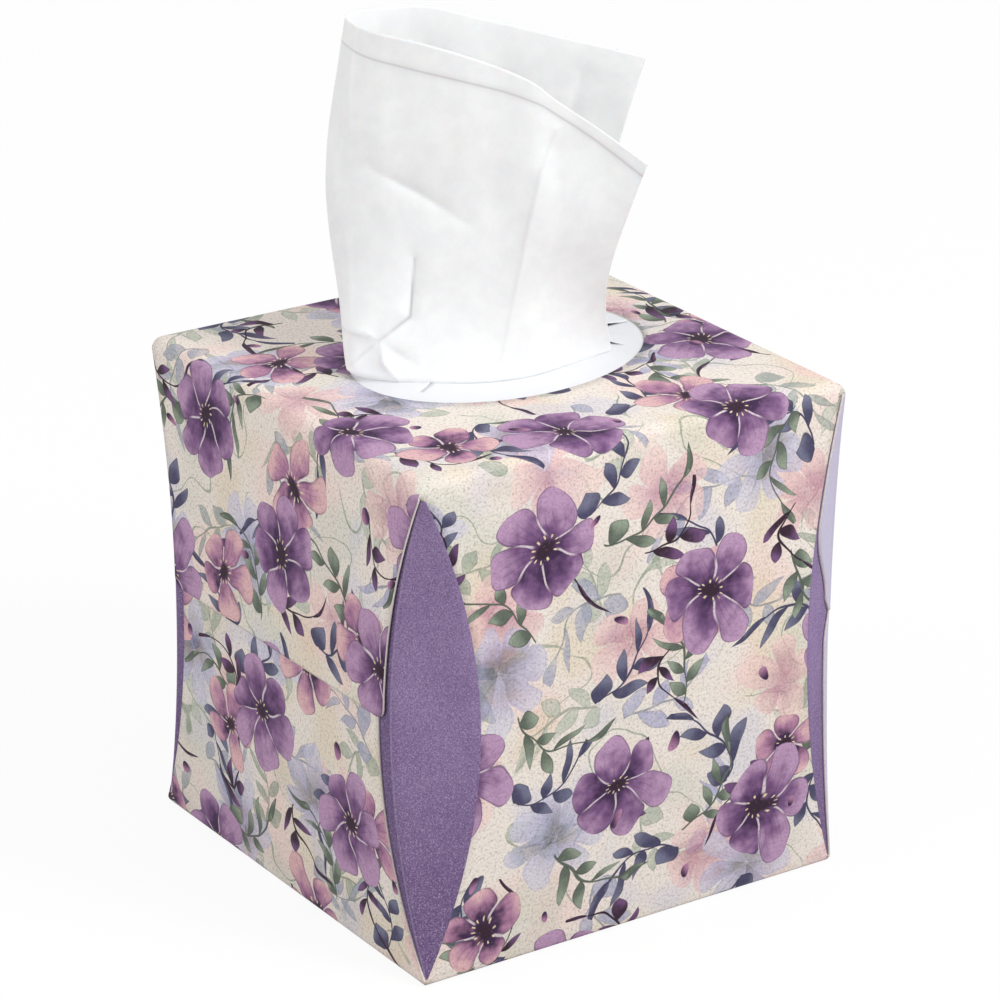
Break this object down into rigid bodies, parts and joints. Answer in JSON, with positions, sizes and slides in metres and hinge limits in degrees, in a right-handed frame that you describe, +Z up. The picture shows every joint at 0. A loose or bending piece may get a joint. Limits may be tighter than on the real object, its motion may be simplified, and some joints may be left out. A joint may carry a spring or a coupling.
{
  "type": "tissue box",
  "caption": "Cube-shaped card tissue box with hollow lens-shaped corners, an oval mouth with a slit film, and a folded sheet standing up through it.",
  "frame": {"origin": "on the table, under the middle of the carton's bottom panel", "axes": "+Z up along the carton's height, -Y out of the front panel, +X to the right seen from the front"},
  "size_m": [0.1198, 0.1198, 0.2022],
  "materials": {
    "printed_card": "uncoated recycled card with a floral print and plain purple corner panels",
    "white_film": "satin white film",
    "tissue_stack": "soft white tissue",
    "tissue_sheet": "soft white tissue"
  },
  "bodies": {
    "root": {"carton": "printed_card", "mouth_film": "white_film", "tissue_clip": "tissue_stack", "popup_tissue": "tissue_sheet"}
  },
  "joints": []
}
